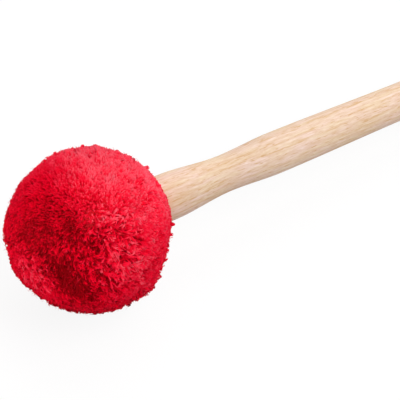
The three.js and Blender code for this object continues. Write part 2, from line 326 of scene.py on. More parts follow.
# Cloth: its dark and pale colours, roughness and sheen, the noises of its mottle and its bumps
# as scale, detail and roughness, and how high and strong the bumps are
FELT_FACE = ((0.95, 0.2), (420, 6, 0.7), (1800, 4, 0.7), (0.15 * MM, 0.7))
BACKING_FACE = ((0.9, 0.0), (900, 3, 0.6), (900, 3, 0.6), (0.5 * MM, 1.0))
CORD_FACE = ((0.55, 0.0), (2600, 2, 0.6), (2600, 2, 0.6), (0.06 * MM, 0.6))
FELT = (((0.33, 0.31, 0.27), (0.55, 0.52, 0.45)), *FELT_FACE)
WOOL = (((0.6, 0.56, 0.47), (0.85, 0.81, 0.7)), *FELT_FACE)
BACKING = (((0.6, 0.0, 0.01), (0.9, 0.001, 0.02)), *BACKING_FACE)
CORD = (((0.24, 0.004, 0.012), (0.5, 0.012, 0.03)), *CORD_FACE)
MOTTLE_EDGES = (0.3, 0.7)


def cloth_material(name, colours, finish, mottle, bumps, height):
    """Felt, wadding, backing or cord: mottled, matt and finely uneven."""
    made, tree, shader = new_material(name)
    place = mallet_coordinates(tree)
    colour = ramp(tree, noise(tree, place, *mottle), list(zip(MOTTLE_EDGES, colours)))
    roughness, sheen = finish
    feed(tree, shader, {"Base Color": colour, "Roughness": roughness, "Sheen Weight": sheen})
    bump(tree, shader, noise(tree, place, *bumps), *height)
    return made


# The pile by level, from deep down to the palest tips: the painted shade, as the light that comes
# back, and the dye
PILE_PAINTED_SHADE = ((0.0, 0.31), (0.12, 0.61), (0.38, 0.92), (0.62, 1.0))
PILE_DYES = (
    (0.0, (1.0, 0.0, 0.012)),
    (0.38, (1.0, 0.0, 0.022)),
    (0.62, (1.0, 0.012, 0.05)),
    (0.95, (1.0, 0.122, 0.172)),
)
ROOT_LEVEL = -0.05
TIP_RISE = 0.7  # in level from a strand's root to its tip: painted shade at the root, paler at the tip
LEAST_TONE = -6
MOST_TONE = 4
TONE_RISE = 0.1125  # in level for one step of tone


def pile_material():
    """Dyed fibre with painted shade down in the pile and between the locks, each lock a little
    different from the next.
    """
    made, tree, shader = new_material("red_pile")
    height = node(tree, "Attribute", attribute_name="height").outputs["Fac"]
    up = math_node(tree, "MULTIPLY_ADD", height, TIP_RISE, ROOT_LEVEL)
    tones = {"From Min": LEAST_TONE, "From Max": MOST_TONE}
    ends = {"To Min": LEAST_TONE * TONE_RISE, "To Max": MOST_TONE * TONE_RISE}
    levels = []
    for name in ("tone", "paleness"):
        value = node(tree, "Attribute", attribute_name=name).outputs["Fac"]
        shift = node(tree, "MapRange", {"Value": value, **tones, **ends}).outputs["Result"]
        levels.append(math_node(tree, "ADD", up, shift))
    # painted shade: a grey that darkens the dye down in the pile
    depth = grey_ramp(tree, levels[0], PILE_PAINTED_SHADE)
    dye = ramp(tree, levels[1], PILE_DYES)
    dyed = node(tree, "Mix", {0: 1.0, 6: dye, 7: depth}, data_type="RGBA", blend_type="MULTIPLY")
    feed(tree, shader, {"Base Color": dyed.outputs[2], "Roughness": 0.5, "Specular IOR Level": 0.02})
    sheen = {"Sheen Weight": 0.35, "Sheen Roughness": 0.3, "Sheen Tint": (1, 0.04, 0.09, 1)}
    feed(tree, shader, sheen)
    return made


# Meshes
WELD = 1e-7


def add_mesh(name, points, faces, smooth=True):
    """A mesh object from world points and lists of point numbers."""
    mesh = bpy.data.meshes.new(name)
    mesh.from_pydata([tuple(p) for p in points], [], faces)
    mesh.polygons.foreach_set("use_smooth", [smooth] * len(mesh.polygons))
    mesh.update()
    return link(bpy.data.objects.new(name, mesh))


def ring_faces(rows, sides, first=0):
    """Faces between rings of points that are numbered from first."""
    faces = []
    for here in range(first, first + (rows - 1) * sides, sides):
        for k in range(sides):
            n = (k + 1) % sides
            faces.append((here + k, here + sides + k, here + sides + n, here + n))
    return faces


def turned(name, profile, sides, displace=None):
    """A lathe about the handle's axis from (along, radius) pairs that start and end on it.

    displace may move the local points before they are placed.
    """
    profile = np.asarray(profile, float)
    rows = len(profile)
    turn = np.tile(np.arange(sides) * TURN / sides, rows)
    points = ring_points(*np.repeat(profile, sides, axis=0).T, turn)
    if displace is not None:
        points = displace(points)
    thing = add_mesh(name, to_world(points), ring_faces(rows, sides))
    weld(thing)
    return thing


def weld(thing):
    """Joins the points that a lathe leaves on its axis, and turns all faces outward."""
    mesh = bmesh.new()
    mesh.from_mesh(thing.data)
    bmesh.ops.remove_doubles(mesh, verts=mesh.verts, dist=WELD)
    bmesh.ops.dissolve_degenerate(mesh, edges=mesh.edges, dist=WELD)
    bmesh.ops.recalc_face_normals(mesh, faces=mesh.faces)
    mesh.to_mesh(thing.data)
    mesh.free()


def through(points, steps):
    """A Catmull-Rom curve through points, with steps from each to the next."""
    points = np.asarray(points, float)
    ends = np.vstack([2 * points[0] - points[1], points, 2 * points[-1] - points[-2]])
    share = (np.arange(steps) / steps)[:, None]
    out = []
    for a, b, c, d in zip(ends, ends[1:], ends[2:], ends[3:]):
        bend = 2 * a - 5 * b + 4 * c - d
        twist = 3 * (b - c) + d - a
        out.append((2 * b + (c - a) * share + bend * share**2 + twist * share**3) / 2)
    return np.vstack([*out, points[-1:]])


def arc(radius, start, end, steps):
    """(along, radius) pairs round the ball's centre; angles are from the handle's direction."""
    angles = np.radians(np.linspace(start, end, steps + 1))
    return [(radius * math.cos(a), radius * math.sin(a)) for a in angles]


def paint(thing, material):
    thing.data.materials.clear()
    thing.data.materials.append(material)


def wear(thing, material, slot, *nodes):
    """Finishes a piece: its material, the body it rides on, and the CAD nodes it stands for."""
    paint(thing, material)
    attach(thing, "root")
    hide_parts(*nodes)


# Handle
HANDLE_SIDES = 112
HANDLE_FACETS = 40
STEPS_BETWEEN_STATIONS = 5
STATION_SLACK = 0.1 * MM
KERF_RUN_OUT = 2 * MM


def handle_profile():
    """The CAD handle's stations behind the shoulder, with a smooth curve through them."""
    points = node_points("handle")
    radius = np.hypot(points[:, 1], points[:, 2])
    shoulder = node_reach("rear_felt_pad")[0]
    fit = math.cos(math.pi / HANDLE_FACETS)
    stations = {}
    for along, out in zip(np.round(points[:, 0], 5), radius):
        if along > shoulder - STATION_SLACK:
            stations[along] = max(stations.get(along, 0), out * fit)
    places = sorted(stations)
    front = places[0]
    start, _, bore, _ = node_reach("head_core")
    tenon = bore - CAD_GAP
    curve = through([(at, stations[at]) for at in places[1:]], STEPS_BETWEEN_STATIONS)
    plain = [(start, 0), (start, tenon), (front, tenon), (front, stations[front])]
    return plain + [tuple(p) for p in curve] + [(places[-1], 0)]


def cut_kerf(handle):
    """Saws the tenon's end for the wedge, with the CAD wedge's own outline grown by its gap."""
    wedge = node_points("tenon_wedge")
    along, half = wedge[:, 0], np.abs(wedge[:, 1])
    lowest, highest = along.min(), along.max()
    thick = half[along < lowest + CAD_GAP].max() + CAD_GAP
    thin = half[along > highest - CAD_GAP].max() + CAD_GAP
    reach = 2 * node_reach("head_core")[2]
    ends = [(lowest - CAD_GAP, thick), (highest + KERF_RUN_OUT, thin)]
    points = [(at, side * wide, up) for at, wide in ends for side in (-1, 1) for up in (-reach, reach)]
    faces = [(0, 1, 3, 2), (4, 6, 7, 5), (0, 4, 5, 1), (2, 3, 7, 6), (0, 2, 6, 4), (1, 5, 7, 3)]
    cutter = add_mesh("kerf_cutter", to_world(points), faces, smooth=False)
    weld(cutter)
    modifier = handle.modifiers.new("kerf", "BOOLEAN")
    modifier.operation = "DIFFERENCE"
    modifier.object = cutter
    modifier.solver = "EXACT"
    apply_modifiers(handle)
    bpy.data.objects.remove(cutter)


def apply_modifiers(thing):
    graph = bpy.context.evaluated_depsgraph_get()
    made = bpy.data.meshes.new_from_object(thing.evaluated_get(graph))
    thing.modifiers.clear()
    thing.data = made


# Inside the head
CAD_WELD = 0.001 * MM
DENTS = (10, 0.5, 2.2, 1.0)  # a smooth field over places in mm, but for its seed
DENT_RANGE = 1.5  # how far that field reaches either way, from no dent to the full one


def soft_copy(name, source, cuts, dent, seed):
    """A CAD soft solid with finer faces, dented inwards so that it keeps clear of its neighbours."""
    mesh = bmesh.new()
    mesh.from_mesh(NODES[source].data)
    bmesh.ops.remove_doubles(mesh, verts=mesh.verts, dist=CAD_WELD)
    bmesh.ops.subdivide_edges(mesh, edges=mesh.edges, cuts=cuts, use_grid_fill=True)
    mesh.normal_update()
    places = np.array([v.co for v in mesh.verts]) / MM
    field = smooth_field(places, *DENTS, seed)[:, 0]
    for vertex, depth in zip(mesh.verts, (field + DENT_RANGE) / (2 * DENT_RANGE)):
        vertex.co -= vertex.normal * dent * min(max(depth, 0), 1)
    data = bpy.data.meshes.new(name)
    mesh.to_mesh(data)
    mesh.free()
    return link(bpy.data.objects.new(name, data))


# Cover: the ground that the pile grows from, drawn in at the neck
PILE_DEPTH = 7.0 * MM
UNDERCOAT_DEPTH = 4.6 * MM
UNDERCOAT_FIELD = (30, 40, 90, 0.4 * MM, 9)
COVER_SIDES = 144
OUTSIDE_STEPS = 60
SLEEVE_STEPS = 7
HOLLOW_STEPS = 40
LIP_ROOM = 1.2 * MM  # from the whipping out to the ground's lip
THROAT_ROOM = 0.9 * MM
OUTSIDE_REACH = 34.3 * MM  # from the ball's centre: what lies farther out has the relief
OUTSIDE_RADIUS = 16.5 * MM  # and behind it also from the handle's axis
SLEEVE_START = 30.5 * MM
SLEEVE_RADII = (13.5 * MM, 16 * MM)
PLEATS = 12
PLEAT_HEIGHT = 0.35 * MM
PLEAT_SINK = 0.25 * MM
GROUND_CLEARANCE = 1.5 * MM
NECK_ANGLE = math.radians(29)


def cover_profile():
    """The ground's outside, the neck, the sleeve on the handle and back round the hollow."""
    _, sleeve_end, bore, _ = node_reach("plush_cover")
    hollow = node_reach("head_padding")[3] + CAD_GAP
    cord_start, _, cord_inner, cord_outer = node_reach("tie_cord")
    sleeve_outer = cord_inner - CAD_GAP
    floor = cord_start - CAD_GAP
    ground = HEAD_RADIUS - UNDERCOAT_DEPTH
    lip = math.degrees(math.asin((cord_outer + LIP_ROOM) / ground))
    inner = math.degrees(math.asin(bore / hollow))
    outside = arc(ground, 180, lip, OUTSIDE_STEPS)
    throat = [(floor, cord_outer + THROAT_ROOM), (floor, sleeve_outer)]
    sleeve = [(at, sleeve_outer) for at in np.linspace(floor, sleeve_end, SLEEVE_STEPS + 1)[1:]]
    lining = [(sleeve_end, bore), (hollow * math.cos(math.radians(inner)), bore)]
    return outside + throat + sleeve + lining + arc(hollow, inner, 180, HOLLOW_STEPS)[1:]


def lumpy_ground(points):
    """Unevens the undercoat and pleats the sleeve, leaving the hollow smooth."""
    reach = np.linalg.norm(points, axis=1)
    ways = points / reach[:, None]
    radius = np.hypot(points[:, 1], points[:, 2])
    turn = np.arctan2(points[:, 2], points[:, 1])
    outer = (reach > OUTSIDE_REACH) & ((points[:, 0] < 0) | (radius > OUTSIDE_RADIUS))
    fine = smooth_field(ways, *UNDERCOAT_FIELD)[:, 0]
    points = points + ways * ((fine + relief(ways)) * outer)[:, None]
    low, high = SLEEVE_RADII
    on_sleeve = (points[:, 0] > SLEEVE_START) & (radius > low) & (radius < high)
    crease = (PLEAT_HEIGHT * np.cos(PLEATS * 2 * turn) - PLEAT_SINK) * on_sleeve
    points[:, 1] += np.cos(turn) * crease
    points[:, 2] += np.sin(turn) * crease
    world = to_world(points)
    world[:, 2] = np.maximum(world[:, 2], GROUND_CLEARANCE)
    return to_local(world)


# Whipping
CORD_DIAMETER = 1.5 * MM
CORD_TURNS = 3
CORD_PITCH = 2.0 * MM
CORD_STEPS = 90  # to a turn
PLIES = 3
PLY_SIDES = 8
PLY_DIAMETER = 0.74 * MM
PLY_LAY = 3.6 * MM


def make_whipping():
    """Three twisted plies on the helix that the CAD cord follows."""
    start, _, inner, outer = node_reach("tie_cord")
    radius = (inner + outer) / 2
    angle = np.arange(CORD_TURNS * CORD_STEPS + 1) * TURN / CORD_STEPS
    middle = ring_points(start + CORD_DIAMETER / 2 + angle / TURN * CORD_PITCH, radius, angle)
    along = unit(np.gradient(middle, axis=0))
    out = unit(middle * (0, 1, 1))
    side = np.cross(along, out)
    points, faces = [], []
    for ply in range(PLIES):
        twist = angle * radius / PLY_LAY * TURN + ply * TURN / PLIES
        offset = (CORD_DIAMETER - PLY_DIAMETER) / 2
        line = middle + (out * np.cos(twist)[:, None] + side * np.sin(twist)[:, None]) * offset
        tube_points, tube_faces = ply_tube(line, len(points))
        points.extend(tube_points)
        faces.extend(tube_faces)
    return add_mesh("whipping_cord", to_world(points), faces)


def ply_tube(line, first):
    """Points and faces of one ply along its line, its points numbered from first."""
    along = unit(np.gradient(line, axis=0))
    out = unit(line * (0, 1, 1))
    side = unit(np.cross(along, out))
    out = np.cross(side, along)
    points = []
    for k in range(PLY_SIDES):
        angle = k * TURN / PLY_SIDES
        points.append(line + (out * math.cos(angle) + side * math.sin(angle)) * PLY_DIAMETER / 2)
    points = np.stack(points, 1).reshape(-1, 3)
    faces = ring_faces(len(line), PLY_SIDES, first)
    last = first + (len(line) - 1) * PLY_SIDES
    faces.append(tuple(first + k for k in range(PLY_SIDES)))
    faces.append(tuple(last + k for k in reversed(range(PLY_SIDES))))
    return list(points), faces


# Pile: how many locks of each kind, and pieces
PILE_SEED = 20
PILE_LOCKS = 14500
WISPS = 9500
BROAD_WISPS = 6000
TUFTS = 380
NECK_LOCKS = 1500
STRAYS = 1100
PILE_PIECES = 10
SHADOWING_PIECES = 2
SHADOWING_SHARE = 0.12  # light passes through fibre, so only this share of it casts a shadow
# How many strands a lock has, how thick they are, and their scatter at roots, bends and tips
LOCK_STRANDS = (5, (0.26 * MM, 0.42 * MM), (0.45 * MM, 0.26 * MM, 0.14 * MM))
WISP_STRANDS = (3, (0.34 * MM, 0.5 * MM), (0.3 * MM, 0.22 * MM, 0.12 * MM))
BROAD_STRANDS = (5, (0.36 * MM, 0.54 * MM), (0.28 * MM, 0.24 * MM, 0.15 * MM))
TUFT_STRANDS = (22, (0.26 * MM, 0.42 * MM), (1.0 * MM, 0.7 * MM, 0.2 * MM))
STRAY_WIDTHS = (0.1 * MM, 0.17 * MM)
# How the locks stand and bend over
GOLDEN_ANGLE = math.pi * (3 - math.sqrt(5))
UNEVEN_SPACING = 0.35  # share of the space between two locks that one is moved by
LOCK_DROP = 1.3 * MM  # how far the lowest locks lie under the rest
DROP_POWER = 1.6
WISP_UNEVENNESS = 0.3 * MM
BROAD_UNEVENNESS = 0.4 * MM
TUFT_HEIGHTS = (0.2 * MM, 1.1 * MM)
OUTLINE_TUFT_HEIGHT = 1.1 * MM
STRAY_HEIGHTS = (0.2 * MM, 1.3 * MM)
BEND_LEAN = 0.3  # share of the tip's lean that the bend has
BEND_RISE = 0.4 * MM
LEAN_SHARES = (0.72, 1.08)
SIDE_LEAN = 0.07
TIP_DROP = 0.45 * MM
CURL = 0.75 * MM  # how far a lock swings aside on its way over
CURL_SHARES = (0.7, 1.3)
LOOSE_LEAN = 1.7 * MM  # of each lock by itself
TUFT_LEAN = 0.5  # share of the pile's lean
STRAY_LEAN = 3.0 * MM
STRAY_BEND = 0.6  # share of a stray's height that its bend lies at
STRAY_SWAY = 0.5 * MM
# How pale they are, and how unlike each other
TONE_SHARE = 0.7  # of a lock's tone that its strands have
STRAND_UNLIKENESS = 0.35  # of one lock's strands
OWN_PALENESS = 0.6  # how far a strand's own tone, and not its place's, makes it paler
PALER = 0.47
LOCK_UNLIKENESS = 0.7
# the wisps' paleness is a painted highlight
WISP_HIGHLIGHT_TONE = 2.0
BROAD_HIGHLIGHT_TONE = 3.1
BROAD_UNLIKENESS = 1.5
TUFT_UNLIKENESS = 0.6
NECK_TONE = 0.6
NECK_UNLIKENESS = 1.1
# Smooth fields: their waves, the least and most radians that these turn in a unit of length,
# which is the ball's radius, and their size and seed
COMBED_FIELD = (16, 4, 11, 2.4 * MM, 3)
TOUSLED_FIELD = (32, 18, 50, 2.6 * MM, 4)
LOCK_TONES = (20, 8, 40, 0.6, 5)
CLUMP_FIELD = (60, 35, 80, 1.0, 6)
SWELL_FIELD = (20, 6, 15, 0.3 * MM, 8)
MOTTLE_FIELD = (24, 24, 56, 1.1, 11)
# Neck: from the outermost locks, which end NECK_ANGLE from the handle, to those that lie on it
NECK_BEGINS = 0.7  # cosine of the angle from the handle inside which the pile leans to the neck
NECK_LEAN = 6 * MM
NECK_LEAN_LOST = 0.8
NECK_ROOT_ALONG = (33.0 * MM, 31.5 * MM)
NECK_ROOT_OUT = (4.0 * MM, 0.6 * MM)  # past the whipping
NECK_ROOT_SCATTER = 0.2 * MM
NECK_BEND_ALONG = 5.0 * MM  # past the root
NECK_BEND_OUT = (0.8 * MM, -1.4 * MM)
NECK_TIP_GAP = 0.5 * MM  # from the innermost tips to the handle
NECK_LEAST_GAP = 0.2 * MM
NECK_DROP = 0.1 * MM  # of all tips under the ball's round
NECK_DROPS = 1.3 * MM  # and of each lock's by itself
NECK_TIP_SCATTER = 0.35 * MM
NECK_SPREAD = 0.03  # in radians round the handle, in one lock
NECK_SWIRL = 0.24
# Tufts on the ball's outline: pixel across and down in the photograph
OUTLINE_TUFTS = ((171, 213), (172, 224), (171, 237), (169, 251), (165, 263), (160, 275), (146, 168))
# Where the pile parts: pixel across and down in the photograph, reach and strength in mm
PARTINGS = (
    (82, 212, 30, 3.8),
    (68, 275, 8, 1.4),
    (42, 234, 6, 0.8),
    (99, 244, 4, 0.6),
)
# How the pile is combed there: pixel across and down, reach, and lean to the right and up in mm
COMBED = (
    (28, 238, 17, 0.6, -4),
    (38, 196, 16, -1.5, -2.5),
    (60, 292, 13, 3.2, -1.8),
    (92, 296, 13, 2.2, -1.4),
    (120, 272, 14, 2.4, -0.8),
    (150, 236, 12, 1.6, -1.2),
    (112, 170, 14, 1.6, 2),
)
# Where the pile lies smooth and deep: pixel across and down, and reach in mm
SMOOTH_TOP = ((64, 205, 17), (38, 213, 11), (92, 190, 10), (60, 172, 12), (110, 170, 16))
CALM = (*SMOOTH_TOP, (70, 282, 9), (58, 264, 8))
CALM_WISPS = 0.1  # share of the fine wisps that is left out there
# how much less pale the wisps are there: less painted highlight
CALM_TONE = 1.8
CALM_LEAN = 0.55  # shares that are lost there, of the lean
CALM_CURL = 0.5  # of the curl
CALM_DROP = 0.75  # of the unevenness
CALM_LIKENESS = 0.7  # and of the wisps' unlikeness
CALM_SHADE_LIFT = 1.1  # how much less painted shade lies between the locks there
# Where it is teased up into broad locks
LIVELY = ((110, 258, 20), (138, 266, 12), (36, 268, 15), (118, 228, 10))
LIVELY_WISPS = 0.8  # share of the fine wisps that is left out there
LIVELY_RISE = 0.4  # how much more uneven it is
LIVELY_PAINTED_SHADE = 3.6  # how much painted shade deepens the tone of the pile between the broad locks
# Painted shade between the locks, where the pile is painted darker: pixel across and down, reach in mm
# and tone
PAINTED_SHADE_SPOTS = ((96, 292, 18, 1.2), (18, 224, 15, 1.2), (88, 228, 13, 0.6))
# Finer hollows and bulges than the CAD cover has: pixel across and down, reach and height in mm
SWELLS = (
    (61, 267, 4, -0.5),
    (76, 285, 4.5, -0.7),
    (99, 243, 3, -0.8),
    (79, 222, 3, -0.6),
    (42, 234, 4, -0.4),
    (130, 157, 8, -0.7),
    (110, 148, 6, -0.4),
    (161, 187, 6, -0.6),
    (170, 208, 5, -0.4),
    (37, 296, 9, -1.2),
    (7, 251, 7, -1.6),
    (169, 251, 6, -0.7),
    (148, 289, 7, 0.6),
    (88, 146, 6, 0.4),
    (0, 229.5, 6, 0.3),
)
SETTLED = 0.4 * MM  # how far the whole pile lies under the cover's trimmed round
CLUMP_SIZES = (0.22 * MM, 0.36 * MM)  # on the smooth side and on the teased side
TEASED = (112, 268, 42)  # the teased side's middle, pixel across and down, and its reach in mm
# Painted light: the pile is painted paler where it faces this way and deeper where it faces away
PAINTED_LIGHT_WAY = RIGHT * 0.5 + UP * 0.74 + BACK * 0.38
PAINTED_LIGHT_PALENESS = 3.5
HALF_LIT = 0.38
RELIEF_PAINTED_SHADE = 0.9  # for each mm that the pile stands out: painted shade in the hollows, painted light on the bulges
UNDERSIDE_EDGE = 0.3  # how far round from the outline the painted shade on the underside begins
UNDERSIDE_START = 0.45  # in radii below the middle, as seen
UNDERSIDE_SPAN = 0.35
UNDERSIDE_PAINTED_SHADE = 4.5
# Painted light and shade: where the pile is painted paler or deeper, pixel across and down, reach in
# mm and tone
PAINTED_LIGHT_AND_SHADE = (
    (130, 172, 18, 0.6),
    (92, 155, 14, 1.5),
    (96, 178, 15, 0.7),
    (50, 190, 17, -1.4),
    (138, 262, 12, 1.2),
    (22, 250, 7, 1.8),
    (42, 290, 8, 2.2),
    (120, 300, 9, 0.9),
    (110, 225, 10, 0.6),
    (60, 222, 15, -1.2),
    (62, 205, 13, -0.9),
    (61, 268, 8.5, -3),
    (76, 286, 10.5, -2.5),
    (99, 243, 4.5, -2.4),
    (80, 223, 4.5, -2),
    (97, 219, 5, 1.4),
    (112, 243, 5, 1),
    (36, 272, 13, 2.7),
    (92, 292, 16, -2.2),
    (92, 196, 14, 0.9),
    (128, 226, 14, -0.4),
    (142, 245, 16, -1),
    (20, 226, 16, -2.6),
    (60, 254, 13, -1.4),
    (86, 229, 14, -2),
)


rng = np.random.default_rng(PILE_SEED)


def varied(shape, size=1.0):
    """Random numbers about nought; two in three of them lie within the size."""
    return rng.normal(size=shape) * size


def unit(vectors):
    return vectors / np.linalg.norm(vectors, axis=-1, keepdims=True)


def tangent_part(vectors, normals):
    return vectors - normals * np.sum(vectors * normals, -1, keepdims=True)


def blend(ends, share):
    """From the first of two ends, at share 0, to the second, at 1."""
    return ends[0] + (ends[1] - ends[0]) * share


def smooth_field(places, waves, lowest, highest, size, seed):
    """A smooth random vector at each place: a sum of plane waves."""
    own = np.random.default_rng(seed)
    total = np.zeros_like(places)
    for _ in range(waves):
        way = unit(own.normal(size=3)) * own.uniform(lowest, highest)
        push = unit(own.normal(size=3))
        total += push * np.sin(places @ way + own.uniform(0, TURN))[:, None]
    return total * size / math.sqrt(waves / 2)


def ring_points(along, radius, angle):
    return np.stack([along, radius * np.cos(angle), radius * np.sin(angle)], 1)


def spread(count):
    """Directions spread evenly over the ball, in the mallet's own frame."""
    i = np.arange(count) + 0.5
    along = 1 - 2 * i / count
    out = np.sqrt(1 - along**2)
    return ring_points(along, out, i * GOLDEN_ANGLE)


COVER_SMOOTHING = 0.075  # radians over which the CAD cover's points are blended
COVER_DEPTH = 5 * MM  # more than its hollows and less than the way to its lining
LEAST_WEIGHT = 1e-6
TABLE_STEPS = 110  # steps from pole to pole of the table of the cover's heights


def cover_table():
    """How far out the pile ends over a grid of directions, blended from the CAD cover's points."""
    places = node_points("plush_cover")
    reach = np.linalg.norm(places, axis=1)
    outside = reach > HEAD_RADIUS - COVER_DEPTH
    places, reach = places[outside] / reach[outside, None], reach[outside]
    turns = np.arange(2 * TABLE_STEPS + 1) * math.pi / TABLE_STEPS
    rows = []
    for slope in np.arange(TABLE_STEPS + 1) * math.pi / TABLE_STEPS:
        across = math.sin(slope)
        ways = ring_points(turns * 0 + math.cos(slope), across, turns)
        weight = np.exp((ways @ places.T - 1) * 2 / COVER_SMOOTHING**2)
        total = weight.sum(1)
        blended = weight @ reach / np.maximum(total, LEAST_WEIGHT)
        rows.append(np.where(total > LEAST_WEIGHT, blended, HEAD_RADIUS))
    return np.array(rows)


COVER_TABLE = cover_table()


def cover_height(ways):
    """How far out the pile ends in each direction, read between the points of the table."""
    slope = np.arccos(np.clip(ways[:, 0], -1, 1)) * TABLE_STEPS / math.pi
    turn = np.arctan2(ways[:, 2], ways[:, 1]) % TURN * TABLE_STEPS / math.pi
    row = np.minimum(slope.astype(int), TABLE_STEPS - 1)
    column = np.minimum(turn.astype(int), 2 * TABLE_STEPS - 1)
    corners = [(COVER_TABLE[r, column], COVER_TABLE[r, column + 1]) for r in (row, row + 1)]
    return blend([blend(pair, turn - column) for pair in corners], slope - row)


def lock_strands(ways, tops, lean, tones, strands, widths, scatter):
    """The strands of locks that bend over from upright roots.

    Gives their roots, bends, tips, curl, widths, tones, paleness and the way that the pile faces.
    """
    pick = np.repeat(np.arange(len(ways)), strands)
    total = len(pick)
    way, top, over = ways[pick], tops[pick], lean[pick]
    jitter = tangent_part(varied((total, 3)), way)
    at_root, at_bend, at_tip = scatter
    root = unit(way * top[:, None] + jitter * at_root) * (top - PILE_DEPTH)[:, None]
    bend_way = unit(way * top[:, None] + jitter * at_bend + over * BEND_LEAN)
    bend = bend_way * (top + BEND_RISE)[:, None]
    reach = rng.uniform(*LEAN_SHARES, total)[:, None]
    side = np.cross(way, unit(over)) * varied(total, SIDE_LEAN)[:, None]
    tip_lean = over * reach + side * np.linalg.norm(over, axis=1)[:, None]
    height = top - np.abs(varied(total, TIP_DROP))
    tip = unit(way * height[:, None] + jitter * at_tip + tip_lean) * height[:, None]
    width = rng.uniform(*widths, total)
    tone = tones[pick] * TONE_SHARE + varied(total, STRAND_UNLIKENESS)
    zone = shade(ways)[pick] * TONE_SHARE
    paleness = PALER + zone + (tone - zone) * OWN_PALENESS
    swing = varied(len(ways), CURL) * (1 - CALM_CURL * within(ways, CALM))
    aside = np.cross(ways, unit(lean)) * swing[:, None]
    curl = aside[pick] * rng.uniform(*CURL_SHARES, total)[:, None]
    return root, bend, tip, curl, width, tone, paleness, facing(ways)[pick]


def picture_way(across, down):
    """The direction from the ball's centre to the point seen at a pixel of the photograph."""
    x = (across - HEAD_PIXEL[0]) / HEAD_PIXEL_RADIUS
    y = (HEAD_PIXEL[1] - down) / HEAD_PIXEL_RADIUS
    toward = math.sqrt(max(1 - x * x - y * y, 0))
    way = RIGHT * x + UP * y + BACK * toward
    return LOCAL_AXES @ np.array(way.normalized())


def near(ways, across, down, reach):
    """How near each direction lies to a pixel of the photograph: 1 there, 0 well past the reach."""
    off = np.linalg.norm(ways - picture_way(across, down), axis=1) * HEAD_RADIUS
    return np.exp(-((off / (reach * MM)) ** 2))


def added(ways, places):
    """The sum of what places of the photograph, each with its amount, add in each direction."""
    return sum(near(ways, *place) * amount for *place, amount in places)


def parted(ways):
    """How the pile leans away from the partings seen in the photograph, and as it is combed there."""
    lean = np.zeros_like(ways)
    for across, down, reach, strength in PARTINGS:
        off = (ways - picture_way(across, down)) * HEAD_RADIUS / (reach * MM)
        lean += off * near(ways, across, down, reach)[:, None] * strength * MM
    for across, down, reach, right, up in COMBED:
        way = LOCAL_AXES @ np.array(RIGHT * right + UP * up) * MM
        lean += near(ways, across, down, reach)[:, None] * way
    return lean


def relief(ways):
    """How far the pile stands out from, or lies under, the head's plain round, in each direction."""
    clump = blend(CLUMP_SIZES, near(ways, *TEASED))
    height = cover_height(ways) - HEAD_RADIUS - SETTLED
    height += smooth_field(ways, *SWELL_FIELD)[:, 0]
    height += smooth_field(ways, *CLUMP_FIELD)[:, 0] * clump
    return height + added(ways, SWELLS) * MM


def within(ways, places):
    """How far each direction lies within places of the photograph, from 0 to 1."""
    return np.minimum(sum(near(ways, *place) for place in places), 1)


def unevenness(ways):
    """How uneven the pile lies in each direction, as a share of what is usual."""
    return 1 - CALM_DROP * within(ways, CALM) + LIVELY_RISE * within(ways, LIVELY)


def shade(ways):
    """How pale the pile looks in each direction: a random mottle, with painted light and shade.

    Painted shade deep in the hollows, in places and under the ball; painted light on the bulges, in
    places and where the light falls.
    """
    lit = ways @ (LOCAL_AXES @ np.array(PAINTED_LIGHT_WAY.normalized()))
    tone = relief(ways) / MM * RELIEF_PAINTED_SHADE + PAINTED_LIGHT_PALENESS * (lit - HALF_LIT)
    tone += smooth_field(ways, *MOTTLE_FIELD)[:, 0] + added(ways, PAINTED_LIGHT_AND_SHADE)
    # painted shade on the underside, from a little before the outline
    toward, below = (ways @ (LOCAL_AXES @ np.array(way)) for way in (BACK, -UP))
    hidden = np.clip(1 - toward / UNDERSIDE_EDGE, 0, 1)
    lower = np.clip((below - UNDERSIDE_START) / UNDERSIDE_SPAN, 0, 1)
    return tone - UNDERSIDE_PAINTED_SHADE * (hidden * lower)


def facing(ways):
    """The way that the relief's surface faces in each direction."""
    step = 0.01
    slope = np.zeros_like(ways)
    base = relief(ways)
    for axis in np.eye(3):
        side = tangent_part(np.broadcast_to(axis, ways.shape), ways)
        slope += axis * ((relief(unit(ways + side * step)) - base) / (step * HEAD_RADIUS))[:, None]
    return unit(ways - tangent_part(slope, ways))


def combing(ways):
    """How far and which way the pile's tips lean: combed, tousled, and drawn in at the neck."""
    tousled = smooth_field(ways, *TOUSLED_FIELD) + varied(ways.shape, LOOSE_LEAN)
    tousled *= unevenness(ways)[:, None]
    lean = smooth_field(ways, *COMBED_FIELD) + tousled + parted(ways)
    lean *= (1 - CALM_LEAN * within(ways, CALM))[:, None]
    to_neck = np.clip((ways[:, 0] - NECK_BEGINS) / (math.cos(NECK_ANGLE) - NECK_BEGINS), 0, 1)
    lean = tangent_part(lean, ways) * (1 - NECK_LEAN_LOST * to_neck)[:, None]
    return lean + tangent_part(np.array([[1.0, 0, 0]]), ways) * (to_neck * NECK_LEAN)[:, None]


def scattered(count):
    """Uneven directions over the ball but its neck."""
    ways = spread(count)
    spacing = math.sqrt(2 * TURN / count)
    ways = unit(ways + varied(ways.shape, UNEVEN_SPACING) * spacing)
    return ways[ways[:, 0] < math.cos(NECK_ANGLE)]


